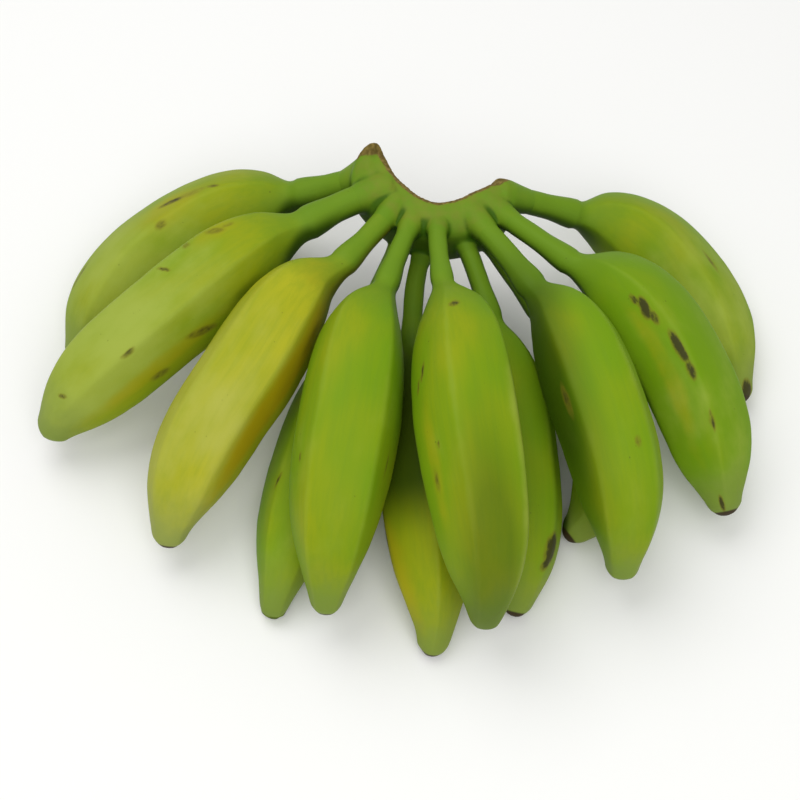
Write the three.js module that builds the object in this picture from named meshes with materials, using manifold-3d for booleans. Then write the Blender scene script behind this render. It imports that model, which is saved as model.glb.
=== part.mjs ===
// A hand of twelve green cooking plantains, lying palm down as it was cut from the bunch.
// Two rows of fingers fan out from one crown. The lower row lies on the table and carries the upper row.
// Units are millimetres, +Z is up, the table is at Z = 0, and the fingers point to -Y.

import * as THREE from "three";
import { mergeVertices } from "three/addons/utils/BufferGeometryUtils.js";
import Module from "manifold-3d";

const wasm = await Module();
wasm.setup();

// The bunch's main stalk stood here, behind the crown. The crown's hollow back is the cut round it.
const STALK_X = 19;
const STALK_Y = 102;

// The crown is a crescent pad round the main stalk. Each row is one cut across it: its turn round the stalk,
// with 0 straight ahead and positive to the right, then its reach from the stalk's axis, first at the torn
// brown edge that faces the stalk and then at its front, and last its foot and top above the table.
const CROWN = [
  [-93, 30, 33, 68, 74],
  [-86, 27, 40, 57, 72.5],
  [-76, 25, 44.5, 49, 71.5],
  [-62, 24, 45, 44, 71],
  [-45, 23, 43, 40, 70],
  [-8, 26, 43, 38, 70],
  [30, 23, 43, 40, 70],
  [48, 25, 42, 46, 70],
  [60, 29, 37, 56, 69],
];
const CROWN_STEP = 9;
const CROWN_BLUNT = 0.3;
const TORN_EDGE = 3;

// A fruit stalk starts inside the crown, at this reach from the main stalk's axis. Its first stretch belongs
// to the crown.
const ROOT_REACH = 34;
const UPPER = 62;
const LOWER = 46;
const STUB_LENGTH = 18;
const STUB_FLARE = 1.4;

// Each finger's middle line passes through its root, its neck, where the stalk meets the fruit, the middle
// of its belly and its tip. turn and row place the root on the crown. girth is the finger's greatest width,
// stalk its stalk's width, stem its stalk's length and roll turns the ridges round it. lean is how far the
// shoulder stands off the stalk's line, to the left of a finger that points ahead. blunt fills out the end
// before the tip.
const FINGERS = [
  { turn: -80, row: 58, neck: [-54, 97, 41], belly: [-110, 80, 24], tip: [-151, 28, 7],
    girth: 49, stalk: 13, stem: 36, roll: 0, lean: 2, blunt: 1.5 },
  { turn: -59, row: UPPER, neck: [-39, 71, 60], belly: [-105, 25, 47], tip: [-158, -13, 14],
    girth: 45, stalk: 13, stem: 36, roll: -32, lean: 3, blunt: 1.5 },
  { turn: -40, row: UPPER, neck: [-24, 45, 66], belly: [-69, -12, 55], tip: [-101, -68, 14],
    girth: 45, stalk: 10.5, stem: 40, roll: -50, lean: 6, blunt: 1.3 },
  { turn: -23, row: UPPER, neck: [-6, 33, 68], belly: [-22, -38, 65], tip: [-32, -101, 20],
    girth: 46, stalk: 9.5, stem: 43, roll: 29, lean: 3, blunt: 1 },
  { turn: -30, row: LOWER, neck: [-14, 40, 37], belly: [-42, -46, 21], tip: [-55, -93, 3],
    girth: 40, stalk: 9, stem: 52, roll: 29, lean: 0, blunt: 1 },
  { turn: -12, row: LOWER, neck: [5, 36, 41], belly: [9, -50, 26], tip: [12, -112, 2],
    girth: 42, stalk: 9, stem: 52, roll: -8, lean: 0, blunt: 1 },
  { turn: -5, row: UPPER, neck: [17, 33, 72], belly: [28, -49, 72], tip: [34, -107, 22],
    girth: 46, stalk: 8.5, stem: 41, roll: 19, lean: -3, blunt: 1 },
  { turn: 10, row: 56, neck: [36, 41, 47], belly: [49, -31, 27], tip: [48, -96, 4],
    girth: 43, stalk: 9, stem: 44, roll: 30, lean: 0, blunt: 1.5 },
  { turn: 34, row: LOWER, neck: [56, 48, 36], belly: [89, -7, 23], tip: [73, -61, 6],
    girth: 39, stalk: 9, stem: 44, roll: 0, lean: 0, blunt: 1.2 },
  { turn: 22, row: UPPER, neck: [57, 27, 68], belly: [85, -40, 64], tip: [93, -83, 18],
    girth: 43, stalk: 11, stem: 48, roll: 38, lean: -3, blunt: 1 },
  { turn: 40, row: UPPER, neck: [75, 45, 62], belly: [115, 8, 52], tip: [141, -54, 16],
    girth: 43, stalk: 10, stem: 44, roll: 9, lean: -4, blunt: 1.4 },
  { turn: 57, row: 60, neck: [83, 87, 41], belly: [128, 68, 23], tip: [155, 7, 7],
    girth: 44, stalk: 11.5, stem: 37, roll: 0, lean: -3, blunt: 1.1 },
];
const NECK_AT = 0.2;
const BELLY_AT = 0.58;

// A stalk widens by this share over its last stretch before the fruit.
const NECK_FLARE = 0.25;
const NECK_LENGTH = 16;

// How wide the fruit is from its neck, 0, to its tip, 1, as shares of its girth.
const BODY = [
  [0.0, 0.0],
  [0.03, 0.16],
  [0.06, 0.34],
  [0.09, 0.5],
  [0.13, 0.66],
  [0.19, 0.82],
  [0.27, 0.94],
  [0.37, 1.0],
  [0.49, 1.0],
  [0.63, 0.96],
  [0.735, 0.86],
  [0.82, 0.7],
  [0.885, 0.52],
  [0.94, 0.36],
  [0.976, 0.26],
  [1.0, 0.18],
];

// The shoulder stands off the stalk's line most at the first share of the fruit and no more at the second.
const SHOULDER_AT = 0.12;
const SHOULDER_END = 0.5;

// A finger is five-sided with blunt ridges: a flatness of 0 would make it round and 1 flat between ridges.
// The stalk is nearly round, and the ridges come up where the fruit widens.
const RIDGES = 5;
const FLATNESS = 0.55;
const SIDES = 20;
const STALK_ROUNDING = 1.5;

// Solids that touch keep this gap, so that each stays a body of its own.
const GAP = 0.3;

const UP = new THREE.Vector3(0, 0, 1);

// One finger has begun to turn yellow. The rest are green.
const YELLOWEST = FINGERS[2];
const SKIN_GREEN = 0x7fa628;
const SKIN_YELLOW = 0xb5a92f;
const CROWN_GREEN = 0x6b8f26;

// The value of a table at x, on the straight line between the rows on either side of it.
function between(table, x, column = 1) {
  const next = Math.max(1, table.findIndex((row) => row[0] >= x));
  const [low, high] = [table[next - 1], table[next]];
  const share = THREE.MathUtils.clamp((x - low[0]) / (high[0] - low[0]), 0, 1);
  return THREE.MathUtils.lerp(low[column], high[column], share);
}

// A place by its turn and reach round the main stalk.
function round(turn, reach, height) {
  const angle = THREE.MathUtils.degToRad(turn);
  return new THREE.Vector3(STALK_X + reach * Math.sin(angle), STALK_Y - reach * Math.cos(angle), height);
}

// The cubic line through a finger's four places.
class FingerLine extends THREE.Curve {
  constructor(finger) {
    super();
    const root = round(finger.turn, ROOT_REACH, finger.row);
    const others = [finger.neck, finger.belly, finger.tip].map((place) => new THREE.Vector3(...place));
    this.places = [root, ...others];
    this.shares = [0, NECK_AT, BELLY_AT, 1];
  }

  getPoint(t, target = new THREE.Vector3()) {
    target.set(0, 0, 0);
    for (let i = 0; i < this.places.length; i++) {
      const own = this.shares[i];
      const others = this.shares.filter((share) => share !== own);
      const weight = others.reduce((product, share) => (product * (t - share)) / (own - share), 1);
      target.addScaledVector(this.places[i], weight);
    }
    return target;
  }
}

// A closed geometry through rings that all have the same number of points, with a flat cap on each end.
function loft(rings) {
  const count = rings[0].length;
  const positions = rings.flat().flatMap((point) => point.toArray());
  const faces = [];
  for (let i = 0; i + 1 < rings.length; i++) {
    for (let j = 0; j < count; j++) {
      const a = i * count + j;
      const b = i * count + ((j + 1) % count);
      faces.push(a, b, a + count, b, b + count, a + count);
    }
  }
  const last = (rings.length - 1) * count;
  for (let j = 1; j + 1 < count; j++) {
    faces.push(0, j + 1, j, last, last + j, last + j + 1);
  }
  const geometry = new THREE.BufferGeometry();
  geometry.setAttribute("position", new THREE.Float32BufferAttribute(positions, 3));
  geometry.setIndex(faces);
  return geometry;
}

// How far along the fruit a place is, from its neck, 0, to its tip, 1.
function fruitShare(finger, length, along) {
  return Math.max(0, (along - finger.stem) / (length - finger.stem));
}

// The second half of the fruit holds its width longer where blunt is over 1.
function fillOut(share, blunt) {
  return share <= 0.5 ? share : 0.5 + 0.5 * Math.pow(2 * share - 1, blunt);
}

// How far the skin stands from the middle line, at a share of the fruit and an angle round it.
function skin(finger, stalk, share, angle) {
  const face = (2 * Math.PI) / RIDGES;
  const off = THREE.MathUtils.euclideanModulo(angle, face) - face / 2;
  const flat = Math.cos(face / 2) / Math.cos(off);
  const wide = between(BODY, fillOut(share, finger.blunt));
  const radius = Math.hypot((finger.girth / 2) * wide, (stalk / 2) * (1 - wide));
  const flatness = FLATNESS * Math.min(1, wide * STALK_ROUNDING);
  return radius * (1 - flatness + flatness * flat);
}

// One ring of the skin. What would sink below the table is pressed flat on it.
function ring(finger, line, along, swell = 1) {
  const length = line.getLength();
  const at = line.getPointAt(along / length);
  const ahead = line.getTangentAt(along / length);
  const side = new THREE.Vector3().crossVectors(ahead, UP).normalize();
  const over = new THREE.Vector3().crossVectors(side, ahead);
  const share = fruitShare(finger, length, along);
  const out = THREE.MathUtils.smoothstep(share, 0, SHOULDER_AT);
  const back = THREE.MathUtils.smoothstep(share, SHOULDER_AT, SHOULDER_END);
  at.addScaledVector(side, finger.lean * out * (1 - back));
  const flare = THREE.MathUtils.smoothstep(along, finger.stem - NECK_LENGTH, finger.stem);
  const stalk = finger.stalk * (1 + NECK_FLARE * flare);
  const points = [];
  for (let j = 0; j < SIDES; j++) {
    const angle = (2 * Math.PI * j) / SIDES;
    const away = swell * skin(finger, stalk, share, angle);
    const turned = angle + THREE.MathUtils.degToRad(finger.roll);
    const point = at.clone();
    point.addScaledVector(side, away * Math.sin(turned));
    point.addScaledVector(over, away * Math.cos(turned));
    point.z = Math.max(point.z, 0);
    points.push(point);
  }
  return points;
}

function fingerGeometry(finger) {
  const line = new FingerLine(finger);
  const length = line.getLength();
  const flareStart = Math.max(finger.stem - NECK_LENGTH, STUB_LENGTH + 2 * GAP);
  const stations = [STUB_LENGTH + GAP, flareStart, (flareStart + finger.stem) / 2];
  for (const [share] of BODY) {
    stations.push(finger.stem + fillOut(share, 1 / finger.blunt) * (length - finger.stem));
  }
  return loft(stations.map((along) => ring(finger, line, Math.min(along, length))));
}

// The stretch of a fruit stalk that belongs to the crown, wider towards its root.
function stubGeometry(finger) {
  const line = new FingerLine(finger);
  const stations = [0, 0.5, 1];
  return loft(stations.map((share) => {
    const swell = THREE.MathUtils.lerp(STUB_FLARE, 1, Math.sin((share * Math.PI) / 2));
    return ring(finger, line, share * STUB_LENGTH, swell);
  }));
}

// The crescent pad: flat at the back, where it was torn from the main stalk, and rounded in front.
function padGeometry() {
  const [first, last] = [CROWN[0][0], CROWN[CROWN.length - 1][0]];
  const rings = [];
  for (let turn = first; turn < last + CROWN_STEP; turn += CROWN_STEP) {
    const at = Math.min(turn, last);
    const [inner, outer, foot, top] = [1, 2, 3, 4].map((column) => between(CROWN, at, column));
    const middle = (inner + outer) / 2;
    const drop = CROWN_BLUNT * (top - foot);
    const torn = Math.min(TORN_EDGE, (outer - inner) / 3);
    rings.push([
      round(at, inner, foot),
      round(at, inner, top - torn),
      round(at, inner + torn, top),
      round(at, middle, top - drop * 0.05),
      round(at, (middle + outer) / 2, top - drop * 0.2),
      round(at, outer, top - drop * 0.7),
      round(at, outer, foot + drop),
      round(at, middle, foot + drop * 0.2),
    ]);
  }
  return loft(rings);
}

// A closed geometry as a solid that can be joined to others.
function solid(geometry) {
  const closed = mergeVertices(geometry, 1e-4);
  return new wasm.Manifold(new wasm.Mesh({
    numProp: 3,
    vertProperties: new Float32Array(closed.attributes.position.array),
    triVerts: new Uint32Array(closed.index.array),
  }));
}

function crownGeometry() {
  let crown = solid(padGeometry());
  for (const finger of FINGERS) {
    crown = crown.add(solid(stubGeometry(finger)));
  }
  const joined = crown.getMesh();
  const geometry = new THREE.BufferGeometry();
  geometry.setAttribute("position", new THREE.Float32BufferAttribute(joined.vertProperties, 3));
  geometry.setIndex(Array.from(joined.triVerts));
  return geometry;
}

function piece(name, geometry, color) {
  const material = new THREE.MeshStandardMaterial({ color, roughness: 0.55, metalness: 0 });
  const mesh = new THREE.Mesh(geometry, material);
  mesh.name = name;
  return mesh;
}

const hand = new THREE.Group();
hand.add(piece("crown", crownGeometry(), CROWN_GREEN));
FINGERS.forEach((finger, index) => {
  const name = `finger_${String(index + 1).padStart(2, "0")}`;
  hand.add(piece(name, fingerGeometry(finger), finger === YELLOWEST ? SKIN_YELLOW : SKIN_GREEN));
});

export default hand;
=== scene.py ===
# %% [markdown]
# # A hand of green cooking plantains
# A bunch of plantains is cut into hands. Each hand is a double row of fruits, called fingers, whose
# stalks grow out of one crown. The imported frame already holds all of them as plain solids. This lesson
# gives each one a finer skin in the same place, then its peel, and then sets up a floor, light and camera.

# %% Load the frame
import math

import bmesh
import bpy
import numpy as np
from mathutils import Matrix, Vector, noise
from mathutils.bvhtree import BVHTree


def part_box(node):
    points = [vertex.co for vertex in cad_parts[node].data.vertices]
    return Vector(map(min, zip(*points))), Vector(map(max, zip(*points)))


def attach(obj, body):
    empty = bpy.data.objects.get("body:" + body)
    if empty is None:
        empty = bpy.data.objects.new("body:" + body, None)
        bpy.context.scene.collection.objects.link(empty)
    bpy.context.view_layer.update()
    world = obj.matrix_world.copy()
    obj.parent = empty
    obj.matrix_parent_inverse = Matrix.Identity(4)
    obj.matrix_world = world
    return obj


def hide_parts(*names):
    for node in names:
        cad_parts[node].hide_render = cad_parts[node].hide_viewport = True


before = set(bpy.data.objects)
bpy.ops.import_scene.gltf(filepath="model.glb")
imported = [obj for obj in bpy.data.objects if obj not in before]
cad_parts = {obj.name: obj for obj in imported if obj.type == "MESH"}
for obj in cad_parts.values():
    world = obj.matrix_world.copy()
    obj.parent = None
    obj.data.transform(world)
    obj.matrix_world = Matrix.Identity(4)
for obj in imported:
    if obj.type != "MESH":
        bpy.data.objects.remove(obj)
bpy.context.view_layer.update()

# %% [markdown]
# ## Sizes
# Real sizes are easier to read in millimetres, so the tables keep them, and one value turns them to
# metres. The main stalk of the bunch stood behind the crown. Places on the crown are given by their
# turn and reach round its axis, so the script starts with that axis and with the line of each finger.

# %% The main stalk, the crown and the fingers
MM = 0.001
STALK_X = 19
STALK_Y = 102

# Turn round the main stalk in degrees, then reach of the torn back and of the front, foot and top.
CROWN = [
    (-93, 30, 33, 68, 74),
    (-86, 27, 40, 57, 72.5),
    (-76, 25, 44.5, 49, 71.5),
    (-62, 24, 45, 44, 71),
    (-45, 23, 43, 40, 70),
    (-8, 26, 43, 38, 70),
    (30, 23, 43, 40, 70),
    (48, 25, 42, 46, 70),
    (60, 29, 37, 56, 69),
]
# How far the roots are from the main stalk's axis, and the height of either row of them.
ROOT_REACH = 34
UPPER = 62
LOWER = 46


def finger(turn, row, neck, belly, tip, girth, stalk, stem, roll, lean, blunt, tone, bloom):
    """One finger's sizes in millimetres and degrees, then how its peel looks: its tone, from -1, fresh,
    to 1, ripe, and how much bloom its upper side has, which is raised there as a painted sheen. turn and
    row place its root, stalk is how thick its stalk is and stem how long. roll turns its ridges, lean pushes
    its shoulder aside, and a blunt of more than 1 keeps it thick for longer."""
    return dict(turn=turn, row=row, neck=neck, belly=belly, tip=tip, girth=girth, stalk=stalk, stem=stem,
                roll=roll, lean=lean, blunt=blunt, tone=tone, bloom=bloom)


FINGERS = [
    finger(-80, 58, (-54, 97, 41), (-110, 80, 24), (-151, 28, 7), 49, 13, 36, 0, 2, 1.5, 0.3, 0.7),
    finger(-59, UPPER, (-39, 71, 60), (-105, 25, 47), (-158, -13, 14), 45, 13, 36, -32, 3, 1.5, 0.3, 0.9),
    finger(-40, UPPER, (-24, 45, 66), (-69, -12, 55), (-101, -68, 14), 45, 10.5, 40, -50, 6, 1.3, 0.0, 0.6),
    finger(-23, UPPER, (-6, 33, 68), (-22, -38, 65), (-32, -101, 20), 46, 9.5, 43, 29, 3, 1, -0.05, 0.1),
    finger(-30, LOWER, (-14, 40, 37), (-42, -46, 21), (-55, -93, 3), 40, 9, 52, 29, 0, 1, -0.2, 0.2),
    finger(-12, LOWER, (5, 36, 41), (9, -50, 26), (12, -112, 2), 42, 9, 52, -8, 0, 1, 0.6, 0.0),
    finger(-5, UPPER, (17, 33, 72), (28, -49, 72), (34, -107, 22), 46, 8.5, 41, 19, -3, 1, 0.0, 0.0),
    finger(10, 56, (36, 41, 47), (49, -31, 27), (48, -96, 4), 43, 9, 44, 30, 0, 1.5, -0.1, 0.0),
    finger(34, LOWER, (56, 48, 36), (89, -7, 23), (73, -61, 6), 39, 9, 44, 0, 0, 1.2, 0.0, 0.0),
    finger(22, UPPER, (57, 27, 68), (85, -40, 64), (93, -83, 18), 43, 11, 48, 38, -3, 1, -0.15, 0.1),
    finger(40, UPPER, (75, 45, 62), (115, 8, 52), (141, -54, 16), 43, 10, 44, 9, -4, 1.4, -0.5, 0.3),
    finger(57, 60, (83, 87, 41), (128, 68, 23), (155, 7, 7), 44, 11.5, 37, 0, -3, 1.1, 0.0, 0.6),
]
YELLOWEST = FINGERS[2]
print("fingers:", len(FINGERS))

# %% [markdown]
# ## The middle line of a finger
# A finger curves because it turned up to the light as it grew. Its middle line is one cubic through four
# places: its root on the crown, its neck, the middle of its belly and its tip. A curve object could hold
# it, but a small class can say the place for any length along it, which the skin needs.


# %% The line through root, neck, belly and tip
def round_stalk(turn, reach, height):
    """A place in millimetres, by its turn and reach round the main stalk."""
    angle = np.radians(turn)
    x = STALK_X + reach * np.sin(angle)
    y = STALK_Y - reach * np.cos(angle)
    return np.stack(np.broadcast_arrays(x, y, height), axis=-1)


# The four places as shares of the line, and steps that run on a little past both its ends.
LINE_SHARES = (0, 0.2, 0.58, 1)
LINE_STEPS = np.linspace(-0.1, 1.05, 231)
HALF_STEP = 0.5


class MiddleLine:
    """The middle line of a finger. Its lengths are in millimetres from the root."""

    def __init__(self, one):
        root = round_stalk(one["turn"], ROOT_REACH, one["row"])
        self.places = [np.array(p, float) for p in (root, one["neck"], one["belly"], one["tip"])]
        steps = self.at_share(LINE_STEPS)
        run = np.concatenate([[0], np.cumsum(np.linalg.norm(np.diff(steps, axis=0), axis=1))])
        self.run = run - np.interp(0, LINE_STEPS, run)
        self.length = np.interp(1, LINE_STEPS, self.run)

    def at_share(self, share):
        total = 0
        for i, place in enumerate(self.places):
            weight = 1
            for j, other in enumerate(LINE_SHARES):
                if j != i:
                    weight = weight * (share - other) / (LINE_SHARES[i] - other)
            total = total + weight[:, None] * place
        return total

    def at(self, along):
        return self.at_share(np.interp(along, self.run, LINE_STEPS))

    def ahead(self, along):
        step = self.at(along + HALF_STEP) - self.at(along - HALF_STEP)
        return step / np.linalg.norm(step, axis=1)[:, None]


for one in FINGERS:
    one["line"] = MiddleLine(one)
print("lengths in mm:", [round(one["line"].length) for one in FINGERS])

# %% [markdown]
# ## The skin of a finger
# A plantain is five-sided, with blunt ridges that run from its shoulder to its tip. From the side it
# swells quickly out of the stalk, stays thick for half its length and then draws in to a short bottle
# neck. A subdivision surface over a coarse cage could give this, but the ridges would wander off the
# frame's solids. A formula keeps every point of the skin where the frame has it: a table of widths from
# neck to tip, drawn through smoothly, times the shape of a rounded pentagon.

# %% Widths from neck to tip, and the five sides
# Share along the fruit, and how wide it is there as a share of its girth.
BODY = np.array([
    (0.0, 0.0), (0.03, 0.16), (0.06, 0.34), (0.09, 0.5), (0.13, 0.66), (0.19, 0.82), (0.27, 0.94),
    (0.37, 1.0), (0.49, 1.0), (0.63, 0.96), (0.735, 0.86), (0.82, 0.7), (0.885, 0.52), (0.94, 0.36),
    (0.976, 0.26), (1.0, 0.18),
])
NECK_FLARE = 0.25
NECK_LENGTH = 16
SHOULDER_AT = 0.12
SHOULDER_END = 0.5
# 0 is round and 1 is flat between the ridges.
FLATNESS = 0.66
STALK_FLATNESS = 0.12
FLAT_SOON = 1.5
FACE = 2 * math.pi / 5
RIDGE_SOFTNESS = 0.055


def smooth_table(table, x):
    """The value of a two-column table at x, on a smooth line through its rows."""
    places, values = table[:, 0], table[:, 1]
    slopes = np.gradient(values, places)
    x = np.clip(x, places[0], places[-1])
    low = np.clip(np.searchsorted(places, x) - 1, 0, len(places) - 2)
    span = places[low + 1] - places[low]
    t = (x - places[low]) / span
    start = values[low] * (1 + 2 * t) * (1 - t) ** 2 + slopes[low] * span * t * (1 - t) ** 2
    end = values[low + 1] * t**2 * (3 - 2 * t) + slopes[low + 1] * span * t**2 * (t - 1)
    return start + end


def ease(x, low, high):
    """0 below low, 1 above high and a soft step between them."""
    t = np.clip((x - low) / (high - low), 0, 1)
    return t * t * (3 - 2 * t)


def fruit_share(one, along):
    """How far along the fruit a place is, from its neck, 0, to its tip, 1."""
    return np.maximum(0, (along - one["stem"]) / (one["line"].length - one["stem"]))


def to_ridge(angle):
    """The angle from the nearest ridge, in radians."""
    return FACE / 2 - np.abs(np.mod(angle, FACE) - FACE / 2)


def skin_reach(one, along, angle):
    """How far the skin stands from the middle line, in millimetres."""
    share = fruit_share(one, along)
    filled = np.where(share <= 0.5, share, 0.5 + 0.5 * np.abs(2 * share - 1) ** one["blunt"])
    wide = smooth_table(BODY, filled)
    stalk = one["stalk"] * (1 + NECK_FLARE * ease(along, one["stem"] - NECK_LENGTH, one["stem"]))
    radius = np.hypot(one["girth"] / 2 * wide, stalk / 2 * (1 - wide))
    flatness = STALK_FLATNESS + (FLATNESS - STALK_FLATNESS) * np.minimum(1, wide * FLAT_SOON)
    softened = np.hypot(to_ridge(angle), RIDGE_SOFTNESS)
    flat = math.cos(FACE / 2) / np.cos(FACE / 2 - softened)
    return radius * (1 - flatness + flatness * flat)


# %% [markdown]
# Each finger starts as a ball. Its two poles are drawn out to the two ends of the finger, so the mesh is
# closed, its rings lie closer together at the ends, and every vertex knows how far along and how far
# round it is. A few tenths of a millimetre of noise take away the look of a formula. The tip is rounded
# off over a few millimetres, and drawn out a little past the frame's to make up for what that takes.

# %% Draw a ball out into a piece
AROUND = 112
ALONG = 190
STUB_LENGTH = 18
SUNK = 8
ROOT_DEPTH = 2
TIP_DEPTH = 5.5
TIP_LONGER = 2


def mesh_from(bm, name):
    """The mesh of a bmesh that has done its work."""
    mesh = bpy.data.meshes.new(name)
    bm.to_mesh(mesh)
    bm.free()
    return mesh


def into_scene(name, data):
    """A new object in the scene, with this mesh, light or camera."""
    made = bpy.data.objects.new(name, data)
    bpy.context.scene.collection.objects.link(made)
    return made


def rounded_end(depth):
    """How wide a rounded end is: 0 at the very end and 1 from a depth of 1 on."""
    return np.sqrt(1 - (1 - np.clip(depth, 0, 1)) ** 2)


def drawn_out_ball(name, around, along, place):
    """A closed mesh, made of a ball. place turns a share along and an angle into a place."""
    bm = bmesh.new()
    bmesh.ops.create_uvsphere(bm, u_segments=around, v_segments=along, radius=1)
    ball = np.array([vert.co for vert in bm.verts])
    share = (1 - ball[:, 2]) / 2
    angle = np.arctan2(ball[:, 1], ball[:, 0])
    for vert, point in zip(bm.verts, place(share, angle)):
        vert.co = point * MM
    bmesh.ops.recalc_face_normals(bm, faces=bm.faces)
    mesh = mesh_from(bm, name)
    mesh.shade_smooth()
    return into_scene(name, mesh), share, angle


# %% A finger from a ball
# The lumps: how far apart they are and how high.
LUMPS = ((26, 0.45), (8, 0.14))


def lumpy(points, seed):
    """Soft lumps for these points, in millimetres."""
    total = np.zeros(len(points))
    for size, height in LUMPS:
        total += [height * noise.noise(Vector(point / size) + Vector((seed, 0, 0))) for point in points]
    return total


def on_finger(one, along, angle, away):
    """Places at a distance from a finger's middle line. What would sink below the table lies flat on it."""
    line = one["line"]
    ahead = line.ahead(along)
    side = np.cross(ahead, (0, 0, 1))
    side /= np.linalg.norm(side, axis=1)[:, None]
    over = np.cross(side, ahead)
    share = fruit_share(one, along)
    off = one["lean"] * ease(share, 0, SHOULDER_AT) * (1 - ease(share, SHOULDER_AT, SHOULDER_END))
    turned = angle + math.radians(one["roll"])
    centre = line.at(along) + side * off[:, None]
    points = centre + side * (away * np.sin(turned))[:, None] + over * (away * np.cos(turned))[:, None]
    points[:, 2] = np.maximum(points[:, 2], 0)
    return points


def finger_piece(number, one):
    """A finger's mesh, with what its peel's pattern needs to know of each vertex."""
    start = STUB_LENGTH - SUNK
    end = one["line"].length + TIP_LONGER
    known = {}

    def place(share_of_length, angle):
        along = start + share_of_length * (end - start)
        share = fruit_share(one, along)
        reach = skin_reach(one, along, angle)
        straight = np.stack([reach * np.cos(angle), reach * np.sin(angle), along], axis=1)
        reach = reach + lumpy(straight, number * 10.0)
        from_end = np.minimum((along - start) / ROOT_DEPTH, (end - along) / TIP_DEPTH)
        reach = reach * rounded_end(from_end)
        known.update(along=along, share=share, reach=reach, straight=straight)
        return on_finger(one, along, angle, reach)

    piece, _, angle = drawn_out_ball(f"peel_{number:02d}", AROUND, ALONG, place)
    known["angle"] = angle
    return piece, known


# %% [markdown]
# ## What the peel went through
# Scars, bruises and rubbed ridges are where they are by chance, so they are listed one by one: each mark
# has its share along the fruit, its angle round it, its length and width in millimetres and its slant.
# The mesh keeps how deep inside a mark each vertex is, and the material later frays its edge with noise.

# %% Marks, one by one
# Share along the fruit, angle round it, length, width, slant and strength.
MARKS = {
    1: [(0.41, 20, 12, 3.5, 20, 0.8), (0.34, 14, 18, 6, 10, 0.35), (0.26, 9, 6, 3, 30, 0.6),
        (0.48, 356, 7, 4, 0, 0.5), (0.76, 60, 14, 2, 10, 0.7)],
    2: [(0.25, 61, 9, 4, 30, 0.5), (0.21, 60, 6, 3, 0, 0.45), (0.337, 67, 4, 3.5, 0, 0.55),
        (0.427, 58, 7, 1.8, 60, 0.7), (0.85, 19, 5, 2, 60, 0.7), (0.45, 317, 14, 4, 20, 0.65),
        (0.62, 305, 10, 4, 10, 0.55), (0.643, 359, 7, 2, 0, 0.7)],
    4: [(0.583, 24, 4, 1.6, 0, 0.8), (0.567, 260, 12, 1.5, 0, 0.6)],
    5: [(0.607, 2, 8, 1.5, 20, 0.7)],
    6: [(0.637, 84, 12, 5, 0, 0.9)],
    7: [(0.16, 348, 5, 3, 60, 0.8), (0.32, 42, 8, 1.8, 15, 0.75), (0.35, 52, 7, 1.6, 15, 0.7),
        (0.513, 30, 3, 1.5, 0, 0.7), (0.59, 42, 9, 3, 0, 0.5)],
    8: [(0.8, 284, 11, 7, 0, 1.1), (0.84, 287, 7, 4, 30, 0.9)],
    10: [(0.437, 16, 14, 4, 0, 0.6), (0.59, 305, 4, 3, 0, 0.5)],
    11: [(0.26, 18, 5, 2.5, 0, 0.8), (0.3, 15, 8, 4, 20, 1.1), (0.337, 13, 6, 3, 0, 0.8),
         (0.44, 7, 12, 3.4, 0, 1.1), (0.48, 5, 5, 2.5, 0, 0.8), (0.523, 5, 8, 3, 0, 1.0),
         (0.693, 0, 9, 2, 0, 0.8), (0.967, 16, 7, 2, 0, 1.0)],
    12: [(0.987, 330, 10, 6, 0, 1.2), (0.52, 332, 12, 3, 0, 0.5)],
}
# The same for broad patches where the green has begun to turn.
PATCHES = {
    1: [(0.42, 14, 40, 22, 0, 0.6)],
    2: [(0.6, 318, 90, 9, 0, 0.65), (0.26, 63, 26, 14, 0, 0.5)],
    3: [(0.45, 334, 110, 16, 0, 0.95), (0.1, 20, 26, 22, 0, 0.5)],
    6: [(0.76, 82, 60, 18, 0, 1.0)],
    7: [(0.55, 42, 60, 9, 0, 0.5)],
    11: [(0.5, 32, 90, 10, 0, 0.5)],
}
# The same for places where shade is painted on the skin as a deeper green.
PAINTED_SHADE_SPOTS = {
    1: [(0.05, 255, 32, 14, 0, 1.2)],
    2: [(0.03, 287, 36, 14, 0, 1.1)],
    6: [(0.3, 30, 70, 60, 0, 1.3)],
    7: [(0.78, 335, 100, 30, 0, 0.55)],
    10: [(0.35, 40, 120, 36, 0, 0.85)],
}
# Ridges that were rubbed to a pale line: angle and strength.
RUBBED = {7: (288, 0.6), 3: (282, 0.3)}


# %% From marks to attributes
def store(mesh, name, values):
    """Keeps one number, or one vector, for every vertex."""
    values = np.asarray(values, np.float32)
    kind, key = ("FLOAT", "value") if values.ndim == 1 else ("FLOAT_VECTOR", "vector")
    attribute = mesh.attributes.new(name, kind, "POINT")
    attribute.data.foreach_set(key, values.ravel())


def angle_from(angle, degrees):
    """The angle from a place round the fruit, between half a turn back and half a turn on."""
    return np.mod(angle - math.radians(degrees) + math.pi, 2 * math.pi) - math.pi


def depth_in(marks, one, known):
    """A mark's whole strength in its middle, half of it at its edge and 0 well outside."""
    depth = np.zeros(len(known["along"]))
    fruit_length = one["line"].length - one["stem"]
    for share, degrees, length, width, slant, strength in marks:
        ahead = known["along"] - (one["stem"] + share * fruit_length)
        sideways = angle_from(known["angle"], degrees) * known["reach"]
        tilt = math.radians(slant)
        lengthwise = ahead * math.cos(tilt) + sideways * math.sin(tilt)
        across = sideways * math.cos(tilt) - ahead * math.sin(tilt)
        away = np.hypot(lengthwise / (length / 2), across / (width / 2))
        depth = np.maximum(depth, strength * np.clip(1.5 - away, 0, 1))
    return depth
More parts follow.
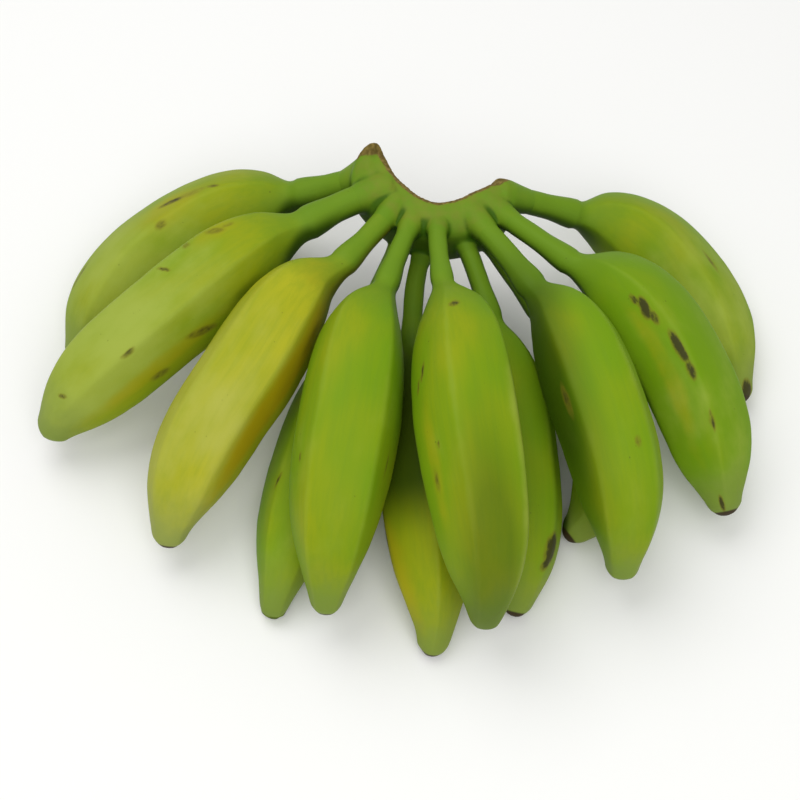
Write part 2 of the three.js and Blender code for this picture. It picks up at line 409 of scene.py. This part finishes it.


# %% [markdown]
# Where a peel faces down or lies against its neighbour, shade is painted on it as a deeper green. How
# close the neighbours are comes from the frame's own solids, which a tree of their faces finds quickly.
# The wax's bloom is strongest in the middle of a fruit, and on the upper side it is raised as a painted
# sheen.

# %% Painted shade and bloom
# How far from the skin a neighbour paints shade on it, in millimetres.
CREVICE_NEAR = 0.5
CREVICE_FAR = 5
# How far down a stalk's skin has to look to get painted shade: -1 is straight up and 1 straight down.
UNDER_SIDE = (-0.8, 0.3)
UNDER_SHADE = 0.9
# The same for the upper side of a fruit, where the bloom is raised as a painted sheen, and -1 is straight
# down.
UPPER_SIDE = (-0.1, 0.7)
# How far from a rubbed ridge its pale line fades, in radians.
RUB_WIDTH = (0.02, 0.24)
# The shares along the fruit over which each comes in or goes.
RIDGE_COMES = (0, 0.1)
RUB_COMES = (0.15, 0.5)
BLOOM_COMES = (0.1, 0.65)
STALK_SHADE_GOES = (0.04, 0.22)
BLOOM_AT_NECK = 0.2


def crevice_shade(piece, own):
    """Painted shade between fingers: 1 where the skin touches a neighbour, and 0 where none is near."""
    corners, faces = [], []
    for name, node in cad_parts.items():
        if name not in (own, "crown"):
            start = len(corners)
            corners += [vert.co.copy() for vert in node.data.vertices]
            faces += [[start + corner for corner in face.vertices] for face in node.data.polygons]
    neighbours = BVHTree.FromPolygons(corners, faces)
    far = CREVICE_FAR * MM
    away = []
    for vert in piece.data.vertices:
        distance = neighbours.find_nearest(vert.co, far)[3]
        away.append(far if distance is None else distance)
    return 1 - ease(np.array(away) / MM, CREVICE_NEAR, CREVICE_FAR)


def under_side(upward):
    """Painted shade on a stalk, from how much its skin looks up: 1 is straight up, -1 straight down."""
    return UNDER_SHADE * ease(-upward, *UNDER_SIDE)


def shade_on(piece, number, one, known, upward):
    """Painted shade on each vertex, as a deeper green: on a listed face, under the stalk or against a
    neighbour.
    """
    face = depth_in(PAINTED_SHADE_SPOTS.get(number, ()), one, known)
    under_stalk = under_side(upward) * (1 - ease(known["share"], *STALK_SHADE_GOES))
    return np.maximum.reduce([face, under_stalk, crevice_shade(piece, f"finger_{number:02d}")])


def bloom_on(number, one, known, upward):
    """How much bloom each vertex has: raised on the upper side as a painted sheen, and along a rubbed ridge.
    """
    grown = BLOOM_AT_NECK + (1 - BLOOM_AT_NECK) * ease(known["share"], *BLOOM_COMES)
    upper_sheen = ease(upward, *UPPER_SIDE)
    degrees, strength = RUBBED.get(number, (0, 0))
    near = 1 - ease(np.abs(angle_from(known["angle"], degrees)), *RUB_WIDTH)
    rubbed = strength * near * ease(known["share"], *RUB_COMES)
    return np.maximum(one["bloom"] * upper_sheen * grown, rubbed)


# %% The twelve peels
pieces = {}
for number, one in enumerate(FINGERS, 1):
    piece, known = finger_piece(number, one)
    ridge = np.clip(1 - to_ridge(known["angle"]) / (FACE / 2), 0, 1)
    upward = np.cos(known["angle"] + math.radians(one["roll"]))
    store(piece.data, "straight", known["straight"] * MM)
    store(piece.data, "share", known["share"])
    store(piece.data, "ridge", ridge * ease(known["share"], *RIDGE_COMES))
    store(piece.data, "mark", depth_in(MARKS.get(number, ()), one, known))
    store(piece.data, "patch", depth_in(PATCHES.get(number, ()), one, known))
    # Shade painted on as a deeper green.
    store(piece.data, "painted_shade", shade_on(piece, number, one, known, upward))
    store(piece.data, "tone", np.full(len(ridge), one["tone"]))
    # Bloom, raised on the upper side as a painted sheen.
    store(piece.data, "bloom", bloom_on(number, one, known, upward))
    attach(piece, "root")
    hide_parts(f"finger_{number:02d}")
    pieces[number] = piece
print("triangles a finger:", sum(len(p.vertices) - 2 for p in pieces[1].data.polygons))

# %% [markdown]
# ## The crown
# The crown is the piece of stem that the fruit stalks share. They don't stand on it like pegs: their
# fibres run on into it, so each stalk widens and melts into its neighbours. Separate stalk ends and a
# crescent pad are drawn out of balls, then a remesh turns them into one skin, and smoothing rounds the
# grooves between them. Its hollow back was torn from the main stalk, so there the skin is rough. The pad
# falls a little from back to front, and its left end stands up as a dry nub.

# %% The pad
PAD_AROUND = 64
PAD_ALONG = 96
CROWN_TABLE = np.array(CROWN, float)
# Over how many degrees of turn its left and its right end round off.
END_TURNS = (4, 3.5)
# How square the pad's section is: 1 is round, and nearer 0 is squarer.
BACK_POWER = 0.45
TOP_POWER = 0.5
ROUND_POWER = 0.8
PAD_LOWER = 0.9
PAD_SLOPE = 3
NUB_RISE = 3.5
# The turns over which the nub falls to the pad, and over which the pad's slope starts.
NUB_FALLS = (-90, -83)
SLOPE_STARTS = (-86, -70)
# From the pad's back, -1, to its front, 1.
SLOPE_RUNS = (-0.5, 0.9)


def crown_size(turn, column):
    """The size in a column of the crown's table, at any turn."""
    return np.interp(turn, CROWN_TABLE[:, 0], CROWN_TABLE[:, column])


def squared(value, power):
    """A cosine or sine that makes a squarer ring than a circle."""
    return np.sign(value) * np.abs(value) ** power


def pad_place(share, angle):
    """The crescent: square towards the main stalk and round in front."""
    first, last = CROWN_TABLE[0, 0], CROWN_TABLE[-1, 0]
    turn = first + share * (last - first)
    inner, outer, foot, top = [crown_size(turn, column) for column in (1, 2, 3, 4)]
    out = np.cos(angle)
    up = np.sin(angle)
    top = top - PAD_LOWER + NUB_RISE * (1 - ease(turn, *NUB_FALLS))
    top = top - PAD_SLOPE * ease(out, *SLOPE_RUNS) * ease(turn, *SLOPE_STARTS)
    scale = rounded_end(np.minimum((turn - first) / END_TURNS[0], (last - turn) / END_TURNS[1]))
    out = squared(out, np.where(out < 0, BACK_POWER, ROUND_POWER)) * scale
    up = squared(up, np.where(up > 0, TOP_POWER, ROUND_POWER)) * scale
    reach = (inner + outer) / 2 + (outer - inner) / 2 * out
    height = (foot + top) / 2 + (top - foot) / 2 * up
    return round_stalk(turn, reach, height)


# %% Stalk ends
# Each runs from behind the root to just inside the finger's own stalk.
STUB_BACK = 7
STUB_FRONT = 22
STUB_SINK = 0.84
STUB_SINKS_OVER = 9
STUB_END = 2
STUB_FLARE = 1.4
FIRST_FLARE = 1.9
STUB_SIDES = 40


def stub_place(one):
    """A stalk's first stretch, wider towards its root, as a place for drawn_out_ball."""
    flare = FIRST_FLARE if one is FINGERS[0] else STUB_FLARE

    def place(share, angle):
        along = -STUB_BACK + share * (STUB_BACK + STUB_FRONT)
        grown = np.sin(np.clip(along / STUB_LENGTH, 0, 1) * math.pi / 2)
        swell = flare + (1 - flare) * grown
        swell = swell + (STUB_SINK - 1) * ease(along, STUB_LENGTH - STUB_SINKS_OVER, STUB_FRONT)
        from_end = np.minimum(along + STUB_BACK, STUB_FRONT - along) / STUB_END
        away = swell * skin_reach(one, along, angle) * rounded_end(from_end)
        return on_finger(one, along, angle, away)

    return place


def joined(name, parts):
    """One object from several, joined by their meshes."""
    bm = bmesh.new()
    for part in parts:
        bm.from_mesh(part.data)
        bpy.data.objects.remove(part)
    return into_scene(name, mesh_from(bm, name))


parts = [drawn_out_ball("pad", PAD_AROUND, PAD_ALONG, pad_place)[0]]
for one in FINGERS:
    parts.append(drawn_out_ball("stub", STUB_SIDES, STUB_SIDES, stub_place(one))[0])
rough_crown = joined("rough_crown", parts)
print("crown before the remesh:", len(rough_crown.data.polygons), "faces")

# %% [markdown]
# The remesh needs voxels finer than the grooves, and ten light smoothing steps take its stairs away.
# Fibres then stand out of the torn back by up to a third of a millimetre: noise that changes quickly
# round the stalk and slowly upwards. The mesh also keeps what the material needs: where it is torn, where
# dust lies, and for painted shade what looks down and the grooves, which are where a much smoother copy
# runs above the skin.

# %% One smooth skin
VOXEL = 0.8
SMOOTH_STEPS = 10


def finished_mesh(piece, name):
    """The piece's mesh with its modifiers applied, as a mesh of its own."""
    seen = piece.evaluated_get(bpy.context.evaluated_depsgraph_get())
    mesh = bpy.data.meshes.new_from_object(seen)
    mesh.name = name
    return mesh


remesh = rough_crown.modifiers.new("one_skin", "REMESH")
remesh.mode = "VOXEL"
remesh.voxel_size = VOXEL * MM
soften = rough_crown.modifiers.new("soften", "SMOOTH")
soften.factor = 0.5
soften.iterations = SMOOTH_STEPS
crown_mesh = finished_mesh(rough_crown, "crown_skin")
bpy.data.objects.remove(rough_crown)
crown = into_scene("crown_skin", crown_mesh)

# %% The torn back, its fibres and the grooves
# How far in front of the torn face the brown fades, in millimetres.
TORN_REACH = (1.0, 6.5)
# The nub is torn too: where it is, by turn and by height.
NUB_TURNS = (-88, -80)
NUB_HEIGHTS = (61, 71)
# How high the fibres are, and what their noise is scaled by: turn, reach and height.
FIBRE = 0.3
FIBRE_SCALE = (0.45, 0.3, 0.09)
FIBRE_LOWEST = -0.4
# Dust lies on either side of the pad's front, where stalks and pad meet.
DUST_REACH = (-4, 5)
# The grooves get painted shade: smoothing steps for the smoother copy, and the depths in millimetres over
# which the shade comes in.
GROOVE_STEPS = 60
GROOVE_DEPTH = (-0.1, 0.7)


def groove_depth(mesh):
    """How deep each vertex lies below a much smoother copy of the mesh, in millimetres."""
    bm = bmesh.new()
    bm.from_mesh(mesh)
    for _ in range(GROOVE_STEPS):
        bmesh.ops.smooth_vert(bm, verts=bm.verts, factor=0.5, use_axis_x=True, use_axis_y=True,
                              use_axis_z=True)
    rise = [(new.co - old.co).dot(old.normal) / MM for new, old in zip(bm.verts, mesh.vertices)]
    bm.free()
    return np.array(rise)


points = np.array([vert.co for vert in crown_mesh.vertices]) / MM
offset = points[:, :2] - (STALK_X, STALK_Y)
reach = np.hypot(offset[:, 0], offset[:, 1])
turn = np.degrees(np.arctan2(offset[:, 0], -offset[:, 1]))
torn = 1 - ease(reach - crown_size(turn, 1), *TORN_REACH)
nub = (1 - ease(turn, *NUB_TURNS)) * ease(points[:, 2], *NUB_HEIGHTS)
torn = np.maximum(torn, nub)
spots = np.stack([turn, reach, points[:, 2]], axis=1) * FIBRE_SCALE
fibres = np.array([noise.noise(Vector(spot)) for spot in spots])
outward = offset / reach[:, None]
points[:, :2] -= outward * (torn * FIBRE * np.maximum(fibres, FIBRE_LOWEST))[:, None]
crown_mesh.vertices.foreach_set("co", (points * MM).ravel())
crown_mesh.shade_smooth()
normals = np.array([vert.normal for vert in crown_mesh.vertices])
store(crown_mesh, "torn", torn)
store(crown_mesh, "dust", 1 - ease(reach - crown_size(turn, 2), *DUST_REACH))
# What looks down and the grooves are kept for painted shade.
store(crown_mesh, "under", under_side(normals[:, 2]))
store(crown_mesh, "groove", ease(groove_depth(crown_mesh), *GROOVE_DEPTH))
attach(crown, "root")
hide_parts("crown")
print("crown:", len(crown_mesh.polygons), "faces")

# %% [markdown]
# ## Materials
# Colours are sRGB hex values, as a picker gives them, and Blender works in linear light, so one function
# turns them. One more adds a node with its settings and links. The surface is then built like a painting:
# a ground colour, and layers over it, each of which covers where its own pattern or attribute is high.
# Peel and crown have the same wax, so they also share their patterns' nodes and their shader.


# %% Colours, nodes and layers
def colour(code):
    """An sRGB hex code as a linear colour."""
    parts = [int(code[i:i + 2], 16) / 255 for i in (0, 2, 4)]
    return [p / 12.92 if p <= 0.04045 else ((p + 0.055) / 1.055) ** 2.4 for p in parts] + [1]


def add(tree, kind, inputs=None, **settings):
    """Adds a node with its settings. Each input gets a value or a link from another node's output."""
    made = tree.nodes.new("ShaderNode" + kind)
    for key, value in settings.items():
        setattr(made, key, value)
    for key, value in (inputs or {}).items():
        if isinstance(value, bpy.types.NodeSocket):
            tree.links.new(value, made.inputs[key])
        else:
            made.inputs[key].default_value = value
    return made


def painted(tree, ground, layers):
    """The ground colour with layers over it. A layer has what it follows, the two values between which it
    comes in, how much it covers at each of them, and its colour or another colour's output. A Mix node
    keeps its colours in inputs 6 and 7, and gives its colour as output 2."""
    skin = colour(ground)
    for follows, low, high, covers_low, covers_high, over in layers:
        cover = add(tree, "MapRange", {"Value": follows, "From Min": low, "From Max": high,
                    "To Min": covers_low, "To Max": covers_high}, interpolation_type="SMOOTHSTEP").outputs[0]
        over = colour(over) if isinstance(over, str) else over
        skin = add(tree, "Mix", {"Factor": cover, 6: skin, 7: over}, data_type="RGBA").outputs[2]
    return skin


# %% What peel and crown share
# Plant wax: soft satin, with an IOR near 1.45. BUMP_DEPTH is in millimetres.
WAX_IOR = 1.45
PEEL_ROUGHNESS = 0.54
PEEL_GLOSS = 0.12
BUMP_DEPTH = 0.6


def new_material(name):
    """A material with no nodes yet, and its node tree."""
    material = bpy.data.materials.new(name)
    material.use_nodes = True
    material.node_tree.nodes.clear()
    return material, material.node_tree


def add_patterns(tree, place, noises, blends, has):
    """Adds each noise at a place, and then each blend of two patterns, to those that a material has."""
    for pattern, (size, detail, stretch, roughness, shift) in noises.items():
        scale = 1 / (size * MM)
        spot = add(tree, "Mapping", {"Vector": place, "Location": [shift] * 3,
                   "Scale": (scale, scale, scale / stretch)}).outputs[0]
        has[pattern] = add(tree, "TexNoise", {"Vector": spot, "Scale": 1.0, "Detail": detail,
                           "Roughness": roughness}).outputs[0]
    for blend, (first, weight, second) in blends.items():
        has[blend] = add(tree, "Math", {0: has[first], 1: weight, 2: has[second]},
                         operation="MULTIPLY_ADD").outputs[0]


def waxy_shader(tree, skin, rough, height, strength):
    """The shader of peel and crown, with a bump, joined to the material's output."""
    bump = add(tree, "Bump", {"Height": height, "Strength": strength,
               "Distance": BUMP_DEPTH * MM}).outputs[0]
    shader = add(tree, "BsdfPrincipled", {"Base Color": skin, "Roughness": rough, "IOR": WAX_IOR,
                 "Specular IOR Level": PEEL_GLOSS, "Normal": bump})
    add(tree, "OutputMaterial", {"Surface": shader.outputs[0]})


# %% [markdown]
# ## The peel
# A green plantain's peel is a tough, waxy skin. The wax makes a thin grey bloom, raised on the upper
# sides as a painted sheen, and gives a soft satin shine. Under it the green changes over a few
# centimetres, with faint streaks along the fruit and pores of about half a millimetre. Stalks are a
# fresher green, tips are greyer, and shade is painted on as a deeper green.

# %% Peel material
# Noise: its size in millimetres, detail, stretch along the fruit, roughness and a shift of its own.
PEEL_NOISE = {
    "broad": (32, 2, 2.2, 0.55, 0),
    "streaks": (1.8, 3, 16, 0.55, 3),
    "cloudy": (15, 4, 1.5, 0.55, 7),
    "turning": (12, 3, 1, 0.55, 11),
    "border": (10, 3, 1, 0.55, 9),
    "seldom": (6, 3, 1, 0.55, 13),
    "ragged": (2.4, 5, 2, 0.7, 17),
    "fine": (0.8, 2, 1, 0.55, 19),
}
PEEL_READS = ("share", "ridge", "mark", "patch", "painted_shade", "tone", "bloom")
# Two values to blend: the first, its weight and the second.
PEEL_BLENDS = {
    "tone_here": ("tone", 0.35, "broad"),
    "wax": ("cloudy", 1.2, "bloom"),
    "turned": ("turning", 0.5, "patch"),
    "rubbed": ("border", 0.3, "ridge"),
    "place": ("border", 0.12, "share"),
    "freckle": ("pores", -1.5, "seldom"),
}
# Pores to a metre, about one in every four millimetres.
PORE_SCALE = 240
CLOUDY_ROUGHNESS = 0.2
PEEL_BUMP = 0.25
FRECKLE = "4b4a16"
SCAR_RIM = "766e1c"
SCAR = "36331a"
DRY_TIP = "3b2f1a"


def peel_material(name, fresh, ripe, bloom, stalk, tip, patch, deep):
    """A plantain's peel in these colours."""
    material, tree = new_material(name)
    straight = add(tree, "Attribute", attribute_name="straight").outputs["Vector"]
    has = {read: add(tree, "Attribute", attribute_name=read).outputs["Fac"] for read in PEEL_READS}
    has["pores"] = add(tree, "TexVoronoi", {"Vector": straight, "Scale": PORE_SCALE}).outputs["Distance"]
    add_patterns(tree, straight, PEEL_NOISE, PEEL_BLENDS, has)
    scar = add(tree, "Math", {0: has["mark"], 1: has["ragged"]}, operation="MULTIPLY").outputs[0]

    skin = painted(tree, fresh, [
        (has["tone_here"], 0.32, 0.72, 0, 1, ripe),
        (has["streaks"], 0.35, 0.75, 0, 0.22, stalk),
        # Bloom, raised on the upper side as a painted sheen.
        (has["wax"], 0.7, 1.75, 0, 0.9, bloom),
        (has["turned"], 0.45, 1.2, 0, 0.9, patch),
        (has["rubbed"], 1.0, 1.17, 0, 0.12, bloom),
        (has["place"], 0.02, 0.3, 1, 0, stalk),
        (has["place"], 0.86, 1.06, 0, 0.8, tip),
        # Painted shade: a deeper green on the listed faces, under the stalks and between fingers.
        (has["painted_shade"], 0, 1, 0, 0.88, deep),
        (has["freckle"], 0.48, 0.58, 0, 0.5, FRECKLE),
        (scar, 0.05, 0.25, 0, 0.6, SCAR_RIM),
        (scar, 0.18, 0.42, 0, 0.9, SCAR),
        (has["share"], 0.993, 1, 0, 1, DRY_TIP),
    ])
    height = 0.0
    for part, weight in ((has["fine"], 0.25), (has["streaks"], 0.35), (scar, -1.2)):
        height = add(tree, "Math", {0: part, 1: weight, 2: height}, operation="MULTIPLY_ADD").outputs[0]
    rough = add(tree, "Math", {0: has["cloudy"], 1: CLOUDY_ROUGHNESS,
                2: PEEL_ROUGHNESS - CLOUDY_ROUGHNESS / 2}, operation="MULTIPLY_ADD").outputs[0]
    waxy_shader(tree, skin, rough, height, PEEL_BUMP)
    return material


# The last colour of each is the deeper green of the painted shade.
green_peel = peel_material("waxy_green_plantain_peel", fresh="6d920c", ripe="8f9a10", bloom="9cab46",
                           stalk="66891c", tip="76893a", patch="a09a12", deep="2a4404")
yellow_peel = peel_material("waxy_yellowing_plantain_peel", fresh="9aa01a", ripe="b0ae22", bloom="aeb04e",
                            stalk="66891c", tip="84924a", patch="ac960c", deep="5c5c06")
for number, one in enumerate(FINGERS, 1):
    mesh = pieces[number].data
    mesh.materials.append(yellow_peel if one is YELLOWEST else green_peel)
print("peels:", green_peel.name, yellow_peel.name)

# %% [markdown]
# ## The crown's flesh
# The crown has the same green skin as the stalks, with a brownish dust where they meet, and shade
# painted as a deeper green underneath and in its grooves. Where it was torn from the main stalk it has
# dried to a fibrous brown, lighter where fibres broke off last. Its patterns read Object coordinates,
# because it has no middle line to follow.

# %% Crown material
# Noise, as for the peel, but stretched upwards.
CROWN_NOISE = {
    "broad": (14, 3, 1, 0.5, 0),
    "specks": (5, 4, 1, 0.5, 0),
    "fibre": (1.6, 3, 6, 0.5, 0),
    "ragged": (3, 3, 1, 0.5, 0),
}
CROWN_READS = ("torn", "dust", "under", "groove")
CROWN_BLENDS = {"dusty": ("specks", 1.0, "dust"), "edge": ("ragged", 0.5, "torn")}
TORN_ROUGHNESS = 0.85
TORN_BUMP = 0.5

material, tree = new_material("plantain_crown_stem_tissue")
has = {read: add(tree, "Attribute", attribute_name=read).outputs["Fac"] for read in CROWN_READS}
add_patterns(tree, add(tree, "TexCoord").outputs["Object"], CROWN_NOISE, CROWN_BLENDS, has)
brown = painted(tree, "5c4e24", [(has["fibre"], 0.3, 0.75, 0, 1, "86733c")])
skin = painted(tree, "64881a", [
    (has["broad"], 0.4, 0.75, 0, 0.7, "748c20"),
    (has["dusty"], 1.2, 1.8, 0, 0.45, "7d7a30"),
    # Painted shade: a deeper green on what looks down and in the grooves.
    (has["under"], 0, 1, 0, 0.88, "2a4404"),
    (has["groove"], 0, 1, 0, 0.85, "2e5404"),
    (has["edge"], 0.6, 0.85, 0, 1, brown),
])
height = add(tree, "Math", {0: has["fibre"], 1: has["torn"]}, operation="MULTIPLY").outputs[0]
rough = add(tree, "MapRange", {"Value": has["torn"], "To Min": PEEL_ROUGHNESS,
            "To Max": TORN_ROUGHNESS}).outputs[0]
waxy_shader(tree, skin, rough, height, TORN_BUMP)
crown_mesh.materials.clear()
crown_mesh.materials.append(material)
print("crown layers:", len(tree.nodes), "nodes")

# %% [markdown]
# ## Floor and light
# The hand lies on a pale studio floor. Two equal softboxes light it, as in a shop photo: one above and
# behind its left side, and one in front, which opens the shadows. A bright room does the rest. Lights
# need no such word.

# %% Floor
FLOOR_SIZE = 6.0
bm = bmesh.new()
bmesh.ops.create_grid(bm, x_segments=1, y_segments=1, size=FLOOR_SIZE / 2)
floor = into_scene("studio_floor", mesh_from(bm, "studio_floor"))
paper = bpy.data.materials.new("white_studio_paper")
paper.use_nodes = True
shader = paper.node_tree.nodes["Principled BSDF"]
shader.inputs["Base Color"].default_value = colour("f4f4f2")
shader.inputs["Roughness"].default_value = 0.9
floor.data.materials.append(paper)

# %% Light
ROOM_LIGHT = 0.55
# Metres and watts.
SOFTBOX_SIZE = 1.0
SOFTBOX_POWER = 7
world = bpy.data.worlds.new("studio_room")
world.use_nodes = True
background = world.node_tree.nodes["Background"]
background.inputs["Color"].default_value = (1, 1, 1, 1)
background.inputs["Strength"].default_value = ROOM_LIGHT
bpy.context.scene.world = world
bpy.context.scene.view_settings.view_transform = "Standard"


def softbox(name, place):
    """A soft square light that shines at the middle of the hand."""
    lamp = bpy.data.lights.new(name, "AREA")
    lamp.size = SOFTBOX_SIZE
    lamp.energy = SOFTBOX_POWER
    holder = into_scene(name, lamp)
    holder.location = place
    holder.rotation_euler = (-Vector(place)).to_track_quat("-Z", "Y").to_euler()


softbox("key_softbox", (-0.35, 0.45, 1.25))
softbox("fill_softbox", (0.1, -0.75, 1.1))

# %% [markdown]
# ## Camera
# The camera stands in front of the fingers' tips and looks down at 60 degrees, steep enough to show the
# crown's hollow outline and flat enough to show how the upper row lies on the lower one.

# %% Camera
LOOKS_AT = Vector((-0.001, -0.012, 0.040))
ELEVATION = math.radians(60)
DISTANCE = 0.650
# Millimetres on a sensor 36 mm wide.
FOCAL_LENGTH = 67.1
SENSOR = 36
back = Vector((0, -math.cos(ELEVATION), math.sin(ELEVATION)))
lens = bpy.data.cameras.new("camera")
lens.lens = FOCAL_LENGTH
lens.sensor_width = SENSOR
camera = into_scene("camera", lens)
camera.location = LOOKS_AT + back * DISTANCE
camera.rotation_euler = (math.pi / 2 - ELEVATION, 0, 0)
bpy.context.scene.camera = camera

# %% [markdown]
# ## Measure and finish
# A skin has to stay where the frame has its solid, so the script prints how far each one's box is off.


# %% Measure and finish
def compare_boxes(node, mesh):
    """Prints how far the lowest and highest corner of a skin are from those of its node."""
    low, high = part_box(node)
    corners = np.array([vert.co for vert in mesh.vertices])
    off = np.concatenate([corners.min(0) - np.array(low), corners.max(0) - np.array(high)]) / MM
    print(node, "box differs in mm:", [round(float(v), 1) for v in off])


for number, piece in pieces.items():
    compare_boxes(f"finger_{number:02d}", piece.data)
compare_boxes("crown", crown_mesh)
